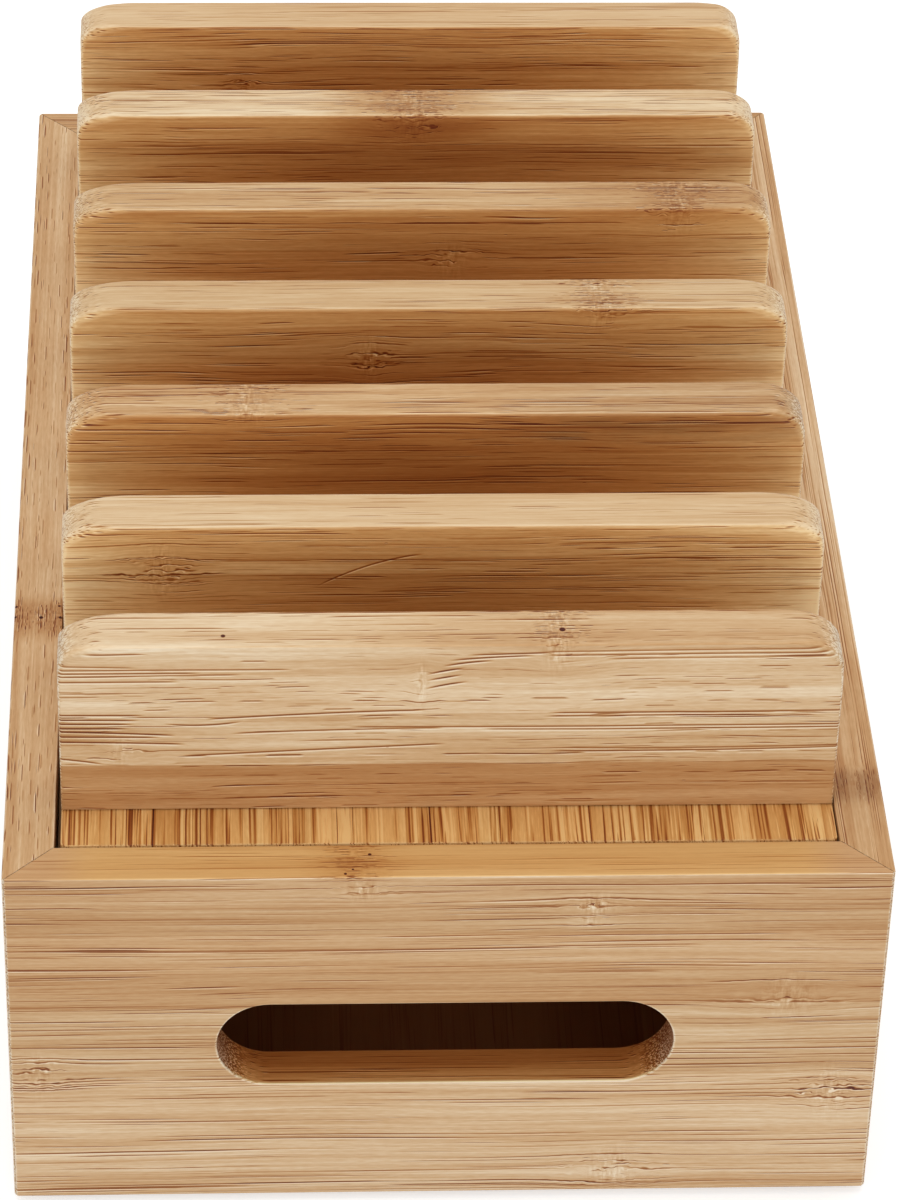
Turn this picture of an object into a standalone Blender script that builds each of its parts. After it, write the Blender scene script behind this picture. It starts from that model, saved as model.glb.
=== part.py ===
"""Bamboo phone and tablet organizer: a mitred box, a lift-off lid and a row of upright dividers.

Units are metres and +Z is up. X runs across the box and Y from its front end to its back end.
The origin is on the table, under the middle of the box.
"""

import math

import bmesh
import bpy

# Box of four mitred boards
BOX_WIDTH = 0.175
WALL_HEIGHT = 0.085
WALL_THICKNESS = 0.010
WALL_EDGE_ROUND = 0.0004
BOX_CORNER_ROUND = 0.0009

# Cable slot in each end board
SLOT_LENGTH = 0.0918
SLOT_HEIGHT = 0.0214
SLOT_CENTRE_ABOVE_BOTTOM = 0.0412
SLOT_RIM_ROUND = 0.0003

# Base panel, in a rabbet on the inside of the walls' bottom edges
BASE_THICKNESS = 0.005
RABBET_DEPTH = 0.005
PANEL_EDGE_ROUND = 0.0004
PANEL_CORNER_ROUND = 0.0012

# Rails that carry the lid
LEDGE_WIDTH = 0.008
LEDGE_HEIGHT = 0.012

# Rubber pads under the corners
FOOT_RADIUS = 0.006
FOOT_HEIGHT = 0.0015
FOOT_INSET = 0.018
FOOT_EDGE_ROUND = 0.0004

# Loose lid, which lies a little off centre in its play
LID_THICKNESS = 0.008
LID_BELOW_WALL_TOP = 0.0006
LID_SIDE_PLAY = 0.0014
LID_END_PLAY = 0.0018
LID_SHIFT_X = 0.00045
LID_SHIFT_Y = 0.0001

# Cable hole in the lid, one in each bay
CABLE_HOLE_LENGTH = 0.030
CABLE_HOLE_WIDTH = 0.012
CABLE_HOLE_RIM_ROUND = 0.0007

# Dividers on the lid, with a bay for one phone or tablet between each two
DIVIDER_COUNT = 7
DIVIDER_THICKNESS = 0.0116
BAY_WIDTH = 0.0275
FRONT_STRIP = 0.0108
BACK_STRIP = 0.0052
DIVIDER_RISE = 0.0407
DIVIDER_CORNER_RADIUS = 0.007
DIVIDER_EDGE_ROUND = 0.0007
DIVIDER_BOTTOM_ROUND = 0.0003
DIVIDER_CORNER_EDGE_ROUND = 0.0026
CORNER_BLEND_LENGTH = 0.005

# Countersunk wood screws, two to a divider
SCREW_SPACING = 0.100
SCREW_LENGTH = 0.022
SCREW_HEAD_RADIUS = 0.0035
SCREW_RIM_HEIGHT = 0.0004
SCREW_CONE_HEIGHT = 0.0020
SCREW_SHANK_RADIUS = 0.0017
SCREW_TIP_LENGTH = 0.004
SCREW_TIP_RADIUS = 0.0003
SCREW_SUNK = 0.0003
RECESS_ARM = 0.0019
RECESS_HALF_WIDTH = 0.0005
RECESS_DEPTH = 0.0013
RECESS_TAPER_SHARE = 0.55

# Clearances, and how far a cutter runs past what it cuts
SEAT_GAP = 0.0002
MITRE_GAP = 0.00015
SCREW_GAP = 0.00025
CUT_OVERRUN = 0.002

# Facets on round stretches, and the angle between faces that shades as an edge
CORNER_STEPS = 8
BLEND_STEPS = 3
EDGE_STEPS = 3
BOARD_EDGE_STEPS = 2
PANEL_CORNER_STEPS = 3
SLOT_END_STEPS = 28
HOLE_END_STEPS = 10
SCREW_SIDES = 12
FOOT_SIDES = 24
EDGE_ANGLE = math.radians(35)

# Places worked out from the sizes above
WALL_BOTTOM_Z = FOOT_HEIGHT + SEAT_GAP
WALL_TOP_Z = WALL_BOTTOM_Z + WALL_HEIGHT
SLOT_CENTRE_Z = WALL_BOTTOM_Z + SLOT_CENTRE_ABOVE_BOTTOM
DIVIDER_PITCH = DIVIDER_THICKNESS + BAY_WIDTH
DIVIDER_ROW = DIVIDER_PITCH * (DIVIDER_COUNT - 1) + DIVIDER_THICKNESS
LID_LENGTH = FRONT_STRIP + DIVIDER_ROW + BACK_STRIP
CAVITY_LENGTH = LID_LENGTH + LID_END_PLAY
BOX_LENGTH = CAVITY_LENGTH + 2 * WALL_THICKNESS
CAVITY_WIDTH = BOX_WIDTH - 2 * WALL_THICKNESS
LID_WIDTH = CAVITY_WIDTH - LID_SIDE_PLAY
LID_TOP_Z = WALL_TOP_Z - LID_BELOW_WALL_TOP
LID_BOTTOM_Z = LID_TOP_Z - LID_THICKNESS
LEDGE_TOP_Z = LID_BOTTOM_Z - SEAT_GAP
FIRST_DIVIDER_Y = LID_SHIFT_Y - LID_LENGTH / 2 + FRONT_STRIP + DIVIDER_THICKNESS / 2
DIVIDER_BOTTOM_Z = LID_TOP_Z + SEAT_GAP
DIVIDER_HEIGHT = DIVIDER_RISE - SEAT_GAP
SCREW_HEAD_Z = LID_BOTTOM_Z + SCREW_SUNK

# Finishes, each a colour, a roughness and how metallic it is
PALE_BAMBOO = ((0.66, 0.43, 0.22), 0.5, 0)
GOLDEN_BAMBOO = ((0.56, 0.34, 0.15), 0.5, 0)
SHADED_BAMBOO = ((0.60, 0.38, 0.18), 0.55, 0)
BLACK_RUBBER = ((0.02, 0.02, 0.02), 0.75, 0)
PLATED_STEEL = ((0.55, 0.52, 0.45), 0.35, 1)


def clear_scene():
    for obj in list(bpy.data.objects):
        bpy.data.objects.remove(obj, do_unlink=True)


def material_of(name, finish):
    colour, roughness, metallic = finish
    material = bpy.data.materials.new(name)
    material.use_nodes = True
    shader = material.node_tree.nodes["Principled BSDF"]
    shader.inputs["Base Color"].default_value = (*colour, 1)
    shader.inputs["Roughness"].default_value = roughness
    shader.inputs["Metallic"].default_value = metallic
    return material


def place(name, mesh, location, turn_z=0, parent=None):
    obj = bpy.data.objects.new(name, mesh)
    obj.location = location
    obj.rotation_euler = (0, 0, turn_z)
    obj.parent = parent
    bpy.context.scene.collection.objects.link(obj)
    return obj


def loft(name, rings, material=None):
    """One closed skin over rings that hold the same number of points, capped at both ends."""
    shape = bmesh.new()
    rows = [[shape.verts.new(point) for point in ring] for ring in rings]
    for lower, upper in zip(rows, rows[1:]):
        for i in range(len(lower)):
            j = (i + 1) % len(lower)
            shape.faces.new((lower[i], lower[j], upper[j], upper[i]))
    shape.faces.new(list(reversed(rows[0])))
    shape.faces.new(rows[-1])
    bmesh.ops.recalc_face_normals(shape, faces=shape.faces)
    mesh = bpy.data.meshes.new(name)
    shape.to_mesh(mesh)
    shape.free()
    mesh.shade_smooth()
    mesh.set_sharp_from_angle(angle=EDGE_ANGLE)
    if material:
        mesh.materials.append(material)
    return mesh


def joined(name, meshes):
    """Several closed skins in one mesh, for a cutter that makes many holes at once."""
    shape = bmesh.new()
    for mesh in meshes:
        shape.from_mesh(mesh)
    mesh = bpy.data.meshes.new(name)
    shape.to_mesh(mesh)
    shape.free()
    return mesh


def cutter(name, mesh, location=(0, 0, 0), parent=None):
    obj = place(name, mesh, location, parent=parent)
    obj.hide_render = True
    obj.display_type = "WIRE"
    return obj


def cut(obj, tool):
    boolean = obj.modifiers.new(tool.name, "BOOLEAN")
    boolean.operation = "DIFFERENCE"
    boolean.solver = "EXACT"
    boolean.object = tool


def quarter_round(radius, steps):
    """(inset, height) pairs from a flat face round to a side, for an edge of this radius."""
    turns = [math.pi / 2 * step / steps for step in range(steps + 1)]
    return [(radius * (1 - math.sin(turn)), radius * (1 - math.cos(turn))) for turn in turns]


def edge_levels(height, radius, steps):
    """(inset, z) pairs up a piece of this height, with both of its edges rounded."""
    low = quarter_round(radius, steps)
    return low + [(inset, height - rise) for inset, rise in reversed(low)]


# Outlines, counter-clockwise as seen from above
def rounded_rectangle(width, length, corner, inset):
    points = []
    for quarter, (side_x, side_y) in enumerate(((1, 1), (-1, 1), (-1, -1), (1, -1))):
        centre_x = side_x * (width / 2 - corner)
        centre_y = side_y * (length / 2 - corner)
        for step in range(PANEL_CORNER_STEPS + 1):
            turn = math.pi / 2 * (quarter + step / PANEL_CORNER_STEPS)
            reach = corner - inset
            points.append((centre_x + reach * math.cos(turn), centre_y + reach * math.sin(turn)))
    return points


def obround(length, width, grow, steps):
    """A slot's outline: two half circles joined by straight sides, grown outward by grow."""
    radius = width / 2 + grow
    points = []
    for side, start in ((1, -math.pi / 2), (-1, math.pi / 2)):
        for step in range(steps + 1):
            turn = start + math.pi * step / steps
            centre_x = side * (length - width) / 2
            points.append((centre_x + radius * math.cos(turn), radius * math.sin(turn)))
    return points


def circle(radius, sides):
    turns = [2 * math.pi * (step + 0.5) / sides for step in range(sides)]
    return [(radius * math.cos(turn), radius * math.sin(turn)) for turn in turns]


def board_outline(span, inset):
    """Plan of one mitred board: x along it, y from its outer face inward."""
    mitre = span / 2 - MITRE_GAP / math.sqrt(2)
    centre_x = span / 2 - BOX_CORNER_ROUND
    reach = BOX_CORNER_ROUND - inset
    half = []
    for step in range(BOARD_EDGE_STEPS + 1):
        turn = math.pi / 4 * step / BOARD_EDGE_STEPS
        y = BOX_CORNER_ROUND - reach * math.cos(turn)
        half.append((min(centre_x + reach * math.sin(turn), mitre - y), y))
    inner_y = WALL_THICKNESS - inset
    half.append((mitre - inner_y, inner_y))
    return half + [(-x, y) for x, y in reversed(half)]


def slab(name, outline_at, height, edge, steps, material):
    """A flat board: its outline lifted through its height, with rounded edges."""
    levels = edge_levels(height, edge, steps)
    rings = [[(x, y, z) for x, y in outline_at(inset)] for inset, z in levels]
    return loft(name, rings, material)


# Cutters
def slot_cutter_mesh(name, length, width, depth, rim, steps):
    """A slot through a board that lies from z = 0 to depth, with its two rims rounded."""
    rounds = quarter_round(rim, BOARD_EDGE_STEPS)[1:]
    first_grow, first_rise = rounds[0]
    flare = rim + CUT_OVERRUN * (rim - first_grow) / first_rise
    rise = [(flare, -CUT_OVERRUN)] + rounds
    fall = [(grow, depth - z) for grow, z in reversed(rise)]
    rings = [[(x, y, z) for x, y in obround(length, width, grow, steps)] for grow, z in rise + fall]
    return loft(name, rings)


def wall_slot_cutter(name, side):
    """The end boards' slot, turned so that it runs along Y through the board."""
    mesh = slot_cutter_mesh(name, SLOT_LENGTH, SLOT_HEIGHT, WALL_THICKNESS, SLOT_RIM_ROUND, SLOT_END_STEPS)
    obj = cutter(name, mesh, (0, side * BOX_LENGTH / 2, SLOT_CENTRE_Z))
    obj.rotation_euler = (side * math.pi / 2, 0, 0)
    return obj


def base_recess_cutter():
    """The space that the base panel takes out of the walls' lower inside edges."""
    half_x = CAVITY_WIDTH / 2 + RABBET_DEPTH
    half_y = CAVITY_LENGTH / 2 + RABBET_DEPTH
    corners = [(half_x, half_y), (-half_x, half_y), (-half_x, -half_y), (half_x, -half_y)]
    heights = (-CUT_OVERRUN, BASE_THICKNESS + SEAT_GAP)
    rings = [[(x, y, z) for x, y in corners] for z in heights]
    return cutter("base_recess", loft("base_recess", rings), (0, 0, WALL_BOTTOM_Z))


def bay_centres():
    """Y of the middle of each bay between two dividers."""
    return [FIRST_DIVIDER_Y + DIVIDER_PITCH * (bay + 0.5) for bay in range(DIVIDER_COUNT - 1)]


def screw_places():
    """(divider, side, x, y) of each screw."""
    places = []
    for divider in range(DIVIDER_COUNT):
        for side, letter in ((-1, "a"), (1, "b")):
            x = LID_SHIFT_X + side * SCREW_SPACING / 2
            places.append((divider, letter, x, FIRST_DIVIDER_Y + DIVIDER_PITCH * divider))
    return places


def moved(mesh, x, y, z):
    for vertex in mesh.vertices:
        vertex.co.x += x
        vertex.co.y += y
        vertex.co.z += z
    return mesh


def countersink_mesh(name):
    """A screw's clearance hole through the lid, with a cone for its head."""
    wide = SCREW_HEAD_RADIUS + SCREW_GAP
    narrow = SCREW_SHANK_RADIUS + SCREW_GAP
    rim_z = SCREW_SUNK + SCREW_RIM_HEIGHT + SCREW_GAP
    levels = (
        (wide, -CUT_OVERRUN),
        (wide, rim_z),
        (narrow, rim_z + SCREW_CONE_HEIGHT),
        (narrow, LID_THICKNESS + CUT_OVERRUN),
    )
    rings = [[(x, y, z) for x, y in circle(radius, SCREW_SIDES)] for radius, z in levels]
    return loft(name, rings)


def lid_cutter(parent):
    holes = [moved(countersink_mesh("hole"), x, y, LID_BOTTOM_Z) for _, _, x, y in screw_places()]
    for y in bay_centres():
        hole = slot_cutter_mesh(
            "cable_hole", CABLE_HOLE_LENGTH, CABLE_HOLE_WIDTH, LID_THICKNESS, CABLE_HOLE_RIM_ROUND, HOLE_END_STEPS
        )
        holes.append(moved(hole, LID_SHIFT_X, y, LID_BOTTOM_Z))
    return cutter("lid_holes", joined("lid_holes", holes), parent=parent)


def pilot_cutter(parent):
    """Blind holes up into every divider, one for each screw."""
    radius = SCREW_SHANK_RADIUS + SCREW_GAP
    top_z = SCREW_HEAD_Z + SCREW_LENGTH + SCREW_GAP
    holes = []
    for _, _, x, y in screw_places():
        rings = [[(u, v, z) for u, v in circle(radius, SCREW_SIDES)] for z in (LID_TOP_Z - CUT_OVERRUN, top_z)]
        holes.append(moved(loft("pilot", rings), x, y, 0))
    return cutter("pilot_holes", joined("pilot_holes", holes), parent=parent)


# Box
def build_walls():
    recess = base_recess_cutter()
    boards = (
        ("front_wall", BOX_WIDTH, (0, -BOX_LENGTH / 2), 0, wall_slot_cutter("front_slot", -1)),
        ("back_wall", BOX_WIDTH, (0, BOX_LENGTH / 2), math.pi, wall_slot_cutter("back_slot", 1)),
        ("left_wall", BOX_LENGTH, (-BOX_WIDTH / 2, 0), -math.pi / 2, None),
        ("right_wall", BOX_LENGTH, (BOX_WIDTH / 2, 0), math.pi / 2, None),
    )
    for name, span, (x, y), turn, slot in boards:
        material = material_of(name, PALE_BAMBOO)
        mesh = slab(
            name, lambda inset: board_outline(span, inset), WALL_HEIGHT, WALL_EDGE_ROUND, BOARD_EDGE_STEPS, material
        )
        board = place(name, mesh, (x, y, WALL_BOTTOM_Z), turn)
        cut(board, recess)
        if slot:
            cut(board, slot)


def build_base():
    width = CAVITY_WIDTH + 2 * (RABBET_DEPTH - SEAT_GAP)
    length = CAVITY_LENGTH + 2 * (RABBET_DEPTH - SEAT_GAP)
    mesh = slab(
        "base_panel",
        lambda inset: rounded_rectangle(width, length, PANEL_CORNER_ROUND, inset),
        BASE_THICKNESS,
        PANEL_EDGE_ROUND,
        BOARD_EDGE_STEPS,
        material_of("base_panel", GOLDEN_BAMBOO),
    )
    place("base_panel", mesh, (0, 0, WALL_BOTTOM_Z))


def build_ledges():
    length = CAVITY_LENGTH - 2 * SEAT_GAP
    for name, side in (("ledge_left", -1), ("ledge_right", 1)):
        mesh = slab(
            name,
            lambda inset: rounded_rectangle(LEDGE_WIDTH, length, PANEL_CORNER_ROUND, inset),
            LEDGE_HEIGHT,
            PANEL_EDGE_ROUND,
            BOARD_EDGE_STEPS,
            material_of(name, SHADED_BAMBOO),
        )
        x = side * (CAVITY_WIDTH / 2 - SEAT_GAP - LEDGE_WIDTH / 2)
        place(name, mesh, (x, 0, LEDGE_TOP_Z - LEDGE_HEIGHT))


def build_feet():
    levels = edge_levels(FOOT_HEIGHT, FOOT_EDGE_ROUND, BOARD_EDGE_STEPS)
    rings = [[(x, y, z) for x, y in circle(FOOT_RADIUS - inset, FOOT_SIDES)] for inset, z in levels]
    x = BOX_WIDTH / 2 - FOOT_INSET
    y = BOX_LENGTH / 2 - FOOT_INSET
    for number, (side_x, side_y) in enumerate(((-1, -1), (1, -1), (1, 1), (-1, 1)), 1):
        name = f"foot_{number}"
        mesh = loft(name, rings, material_of(name, BLACK_RUBBER))
        place(name, mesh, (side_x * x, side_y * y, 0))


# Lid
def build_lid_panel(parent):
    mesh = slab(
        "lid_panel",
        lambda inset: rounded_rectangle(LID_WIDTH, LID_LENGTH, PANEL_CORNER_ROUND, inset),
        LID_THICKNESS,
        PANEL_EDGE_ROUND,
        BOARD_EDGE_STEPS,
        material_of("lid_panel", GOLDEN_BAMBOO),
    )
    panel = place("lid_panel", mesh, (LID_SHIFT_X, LID_SHIFT_Y, LID_BOTTOM_Z), parent=parent)
    cut(panel, lid_cutter(parent))


def corner_edge_round(distance):
    """A divider's edge round at this distance along the rim from the middle of a top corner.

    It is widest there, where the corner is sanded by hand, and fades into the straight edges.
    """
    reach = DIVIDER_CORNER_RADIUS * math.pi / 4 + CORNER_BLEND_LENGTH
    fade = (1 + math.cos(math.pi * distance / reach)) / 2
    return DIVIDER_EDGE_ROUND + (DIVIDER_CORNER_EDGE_ROUND - DIVIDER_EDGE_ROUND) * fade


def divider_rim():
    """Points round a divider seen from the front: (x, z, way in x, way in z, edge round).

    The way is the direction that the edge round insets a point along.
    """
    half = LID_WIDTH / 2
    corner = DIVIDER_CORNER_RADIUS
    half_arc = corner * math.pi / 4
    right = [
        (half, 0, -1, 1, DIVIDER_BOTTOM_ROUND),
        (half, DIVIDER_EDGE_ROUND, -1, 0, DIVIDER_EDGE_ROUND),
    ]
    for step in range(BLEND_STEPS):
        below = CORNER_BLEND_LENGTH * (1 - step / BLEND_STEPS)
        right.append((half, DIVIDER_HEIGHT - corner - below, -1, 0, corner_edge_round(half_arc + below)))
    for step in range(CORNER_STEPS + 1):
        turn = math.pi / 2 * step / CORNER_STEPS
        x = half - corner + corner * math.cos(turn)
        z = DIVIDER_HEIGHT - corner + corner * math.sin(turn)
        edge = corner_edge_round(corner * abs(turn - math.pi / 4))
        right.append((x, z, -math.cos(turn), -math.sin(turn), edge))
    for step in range(1, BLEND_STEPS + 1):
        past = CORNER_BLEND_LENGTH * step / BLEND_STEPS
        right.append((half - corner - past, DIVIDER_HEIGHT, 0, -1, corner_edge_round(half_arc + past)))
    left = [(-x, z, -way_x, way_z, edge) for x, z, way_x, way_z, edge in reversed(right)]
    return right + left


def divider_mesh(name, material):
    """The rim carried from the front face to the back face, round both edges."""
    rim = divider_rim()
    front = []
    for inset_share, rise_share in quarter_round(1, EDGE_STEPS):
        ring = []
        for x, z, way_x, way_z, edge in rim:
            inset = edge * inset_share
            y = edge * rise_share - DIVIDER_THICKNESS / 2
            ring.append((x + way_x * inset, y, z + way_z * inset))
        front.append(ring)
    back = [[(x, -y, z) for x, y, z in ring] for ring in reversed(front)]
    return loft(name, front + back, material)


def build_dividers(parent):
    pilots = pilot_cutter(parent)
    for divider in range(DIVIDER_COUNT):
        name = f"divider_{divider + 1}"
        mesh = divider_mesh(name, material_of(name, PALE_BAMBOO))
        y = FIRST_DIVIDER_Y + DIVIDER_PITCH * divider
        board = place(name, mesh, (LID_SHIFT_X, y, DIVIDER_BOTTOM_Z), parent=parent)
        cut(board, pilots)


def cross_outline(share):
    """The plus-shaped recess, one corner to each side of the head's circle."""
    arm = RECESS_ARM * share
    half = RECESS_HALF_WIDTH * share
    quarter = [(arm, half), (half, half), (half, arm)]
    points = []
    for turn in range(4):
        cosine, sine = math.cos(turn * math.pi / 2), math.sin(turn * math.pi / 2)
        points += [(x * cosine - y * sine, x * sine + y * cosine) for x, y in quarter]
    return points


def screw_mesh(name, material):
    """Head down, point up: the recess, the countersunk head, the shank and the tip."""
    cone_z = SCREW_RIM_HEIGHT + SCREW_CONE_HEIGHT
    levels = (
        (SCREW_HEAD_RADIUS, 0),
        (SCREW_HEAD_RADIUS, SCREW_RIM_HEIGHT),
        (SCREW_SHANK_RADIUS, cone_z),
        (SCREW_SHANK_RADIUS, SCREW_LENGTH - SCREW_TIP_LENGTH),
        (SCREW_TIP_RADIUS, SCREW_LENGTH),
    )
    rings = [[(x, y, RECESS_DEPTH) for x, y in cross_outline(RECESS_TAPER_SHARE)]]
    rings.append([(x, y, 0) for x, y in cross_outline(1)])
    rings += [[(x, y, z) for x, y in circle(radius, SCREW_SIDES)] for radius, z in levels]
    return loft(name, rings, material)


def build_screws(parent):
    for divider, letter, x, y in screw_places():
        name = f"divider_screw_{divider + 1}{letter}"
        mesh = screw_mesh(name, material_of(name, PLATED_STEEL))
        place(name, mesh, (x, y, SCREW_HEAD_Z), parent=parent)


def build_lid():
    """The lid and all that is fixed to it hang on one empty, which lifts along Z."""
    lift = place("lid_lift", None, (0, 0, 0))
    build_lid_panel(lift)
    build_dividers(lift)
    build_screws(lift)


clear_scene()
build_walls()
build_base()
build_ledges()
build_feet()
build_lid()
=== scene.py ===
"""Bamboo phone and tablet organizer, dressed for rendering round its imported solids.

Lengths are metres and +Z is up, as in the solids. Patterns inside the bamboo are in millimetres.
"""

import math
from functools import reduce

import bpy
import numpy as np
from mathutils import Matrix, Vector


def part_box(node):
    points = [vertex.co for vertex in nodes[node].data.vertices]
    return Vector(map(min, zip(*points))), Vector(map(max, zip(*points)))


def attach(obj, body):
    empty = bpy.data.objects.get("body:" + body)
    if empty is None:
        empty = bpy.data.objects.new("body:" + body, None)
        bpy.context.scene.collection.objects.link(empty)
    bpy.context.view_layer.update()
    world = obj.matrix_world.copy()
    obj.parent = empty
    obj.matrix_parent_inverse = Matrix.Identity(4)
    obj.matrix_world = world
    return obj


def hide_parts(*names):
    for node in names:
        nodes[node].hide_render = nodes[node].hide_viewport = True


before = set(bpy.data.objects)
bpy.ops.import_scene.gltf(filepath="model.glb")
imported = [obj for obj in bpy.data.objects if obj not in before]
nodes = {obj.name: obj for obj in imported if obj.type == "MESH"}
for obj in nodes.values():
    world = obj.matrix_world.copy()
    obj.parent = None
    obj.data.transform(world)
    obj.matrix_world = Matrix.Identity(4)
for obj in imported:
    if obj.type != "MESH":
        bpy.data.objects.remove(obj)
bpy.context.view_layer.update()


# Box walls
# Four boards of pale bamboo, glued up from strips and mitred at the corners.
# The two end boards each have one long cable slot with rounded ends.
MM = 1000.0


class Wire:
    """A number that varies over a surface. Arithmetic on it adds Math nodes to its material."""

    def __init__(self, finish, socket):
        self.finish = finish
        self.socket = socket

    def maths(self, operation, first, second=0.0, clamp=False):
        settings = {"operation": operation, "use_clamp": clamp}
        return self.finish.node("ShaderNodeMath", settings, {0: first, 1: second})

    def __add__(self, other):
        return self.maths("ADD", self, other)

    def __sub__(self, other):
        return self.maths("SUBTRACT", self, other)

    def __rsub__(self, other):
        return self.maths("SUBTRACT", other, self)

    def __mul__(self, other):
        return self.maths("MULTIPLY", self, other)

    def __truediv__(self, other):
        return self.maths("DIVIDE", self, other)

    def __pow__(self, other):
        return self.maths("POWER", self, other)

    def __abs__(self):
        return self.maths("ABSOLUTE", self)

    __radd__ = __add__
    __rmul__ = __mul__

    def twin(self, output):
        """Another output of the node that this number comes from."""
        return Wire(self.finish, self.socket.node.outputs[output])

    def clamped(self):
        return self.maths("ADD", self, 0.0, clamp=True)

    def least(self, other):
        return self.maths("MINIMUM", self, other)

    def most(self, other):
        return self.maths("MAXIMUM", self, other)

    def bell(self):
        """e to the power of minus this value, which is a squared distance."""
        return self.maths("EXPONENT", self * -1.0)

    def ramp(self, start, end):
        """0 at start rising smoothly to 1 at end, which may be the lower of the two."""
        sockets = {"Value": self, "From Min": start, "From Max": end}
        return self.finish.node("ShaderNodeMapRange", {"interpolation_type": "SMOOTHSTEP"}, sockets)


def total(wires):
    """The sum of several wires."""
    return reduce(Wire.__add__, wires)


def largest(wires):
    """The largest of several wires."""
    return reduce(Wire.most, wires)


class Finish:
    """One material, built node by node in front of its Principled shader."""

    MIX_FACTOR, MIX_A, MIX_B, MIX_RESULT = 0, 6, 7, 2

    def __init__(self, name):
        self.material = bpy.data.materials.new(name)
        self.material.use_nodes = True
        self.tree = self.material.node_tree
        self.shader = self.tree.nodes["Principled BSDF"]

    def node(self, kind, settings, sockets, output=0):
        made = self.tree.nodes.new(kind)
        for setting, value in settings.items():
            setattr(made, setting, value)
        for key, value in sockets.items():
            self.feed(made.inputs[key], value)
        return Wire(self, made.outputs[output])

    def feed(self, socket, value):
        if isinstance(value, Wire):
            self.tree.links.new(value.socket, socket)
        else:
            socket.default_value = value

    def give(self, name, value):
        """Feed the shader's socket of this name."""
        self.feed(self.shader.inputs[name], value)

    def bump(self, height, strength, distance):
        """Shade the surface as if raised by up to this many metres, by a share of 0 to 1."""
        sockets = {"Height": height, "Strength": strength, "Distance": distance}
        self.give("Normal", self.node("ShaderNodeBump", {}, sockets))

    def place(self):
        """Where a surface point is on the object, in millimetres: three wires for X, Y and Z."""
        metres = self.node("ShaderNodeTexCoord", {}, {}, "Object")
        scaled = self.node("ShaderNodeVectorMath", {"operation": "SCALE"}, {0: metres, "Scale": MM})
        return [self.node("ShaderNodeSeparateXYZ", {}, {0: scaled}, axis) for axis in range(3)]

    def facing(self):
        """The three parts of the surface's own direction."""
        normal = self.node("ShaderNodeNewGeometry", {}, {}, "Normal")
        return [self.node("ShaderNodeSeparateXYZ", {}, {0: normal}, axis) for axis in range(3)]

    def point(self, x, y, z):
        return self.node("ShaderNodeCombineXYZ", {}, {0: x, 1: y, 2: z})

    def stretched(self, point, size, seed):
        """The point counted in steps of this size along each axis, from a start of its own."""
        scale = [1 / length for length in size]
        return self.node("ShaderNodeMapping", {}, {"Vector": point, "Location": seed, "Scale": scale})

    def noise(self, point, size, seed, detail=1.0):
        sockets = {"Vector": self.stretched(point, size, seed), "Scale": 1.0, "Detail": detail}
        return self.node("ShaderNodeTexNoise", {}, sockets)

    def mix(self, share, first, second, blend="MIX"):
        """From the first colour to the second by a share of 0 to 1."""
        settings = {"data_type": "RGBA", "blend_type": blend}
        sockets = {self.MIX_FACTOR: share, self.MIX_A: first, self.MIX_B: second}
        return self.node("ShaderNodeMix", settings, sockets, self.MIX_RESULT)

    def parts(self, vector):
        """The three numbers in a colour or a vector."""
        first = self.node("ShaderNodeSeparateXYZ", {}, {0: vector})
        return first, first.twin(1), first.twin(2)

    def tinted(self, share, colour, tint):
        """The colour multiplied by a tint, which may be brighter than 1, by a share of 0 to 1."""
        return self.mix(share, colour, (*tint, 1.0), "MULTIPLY")

    def stained(self, colour, stain, coats):
        """The colour seen through this many coats of a stain that lets these shares of light by."""
        passed = self.node("ShaderNodeGamma", {}, {"Color": (*stain, 1.0), "Gamma": coats})
        return self.mix(1.0, colour, passed, "MULTIPLY")

    def edge(self, place, low, high, reach):
        """1 on the edges of the box between two corners in metres, fading to 0 this many mm away.

        Of a surface point's distances to the three nearest sides, the middle one is its
        distance to the nearest edge, since the smallest is 0.
        """
        off = []
        for wire, near, far in zip(place, low, high):
            off.append(abs(wire - near * MM).least(abs(wire - far * MM)))
        a, b, c = off
        return a.least(b).most(a.most(b).least(c)).ramp(reach, 0.0)


def rgb(red, green, blue):
    """A colour as seen on screen, 0 to 255, turned into linear light."""
    return [*(((share / 255 + 0.055) / 1.055) ** 2.4 for share in (red, green, blue)), 1.0]


PALE_BAMBOO = rgb(251, 228, 190)
STAIN = (0.430, 0.215, 0.085)
WARM_STRIP_TINT = (1.02, 0.98, 0.95)
GREY_PATCH_TINT = (0.88, 1.10, 1.50)
PAINTED_SHADE_TINT = (1.05, 1.0, 0.84)
SLOT_LINING_TINT = (1.10, 0.92, 0.84)
END_GRAIN_TINT = (0.96, 0.98, 1.04)
CAP_FADE = 6.0
# How far in mm edges are paled, by rubbing and by a painted highlight
EDGE_RUBBING_AND_HIGHLIGHT = 0.5
HOLE_COATS = 2.5
STROKE_COATS = 1.9
STROKE_HALF_WIDTH = 0.22
STROKE_LEAN = 0.35
STROKE_SWAY = 0.4
STROKE_TAPER = 4.0
# Painted shade on forward faces between dividers: coats per mm below the top, less at the ends
SHADE_PER_MM_DOWN = 0.005
SHADE_LOST_AT_ENDS = 0.3
SHADE_LOST_PER_MM_DOWN = 0.05
SHADE_HALF_SPAN = 100.0
# A layer of bundles: spacing, length, half thickness, share shown, coats
NODE_DASHES = (0.5, 3.0, 0.16, -1.7, 1.3)
DASHES_NEAR_NODE = 4.0
LINES_NEAR_NODE = 0.35


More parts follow.
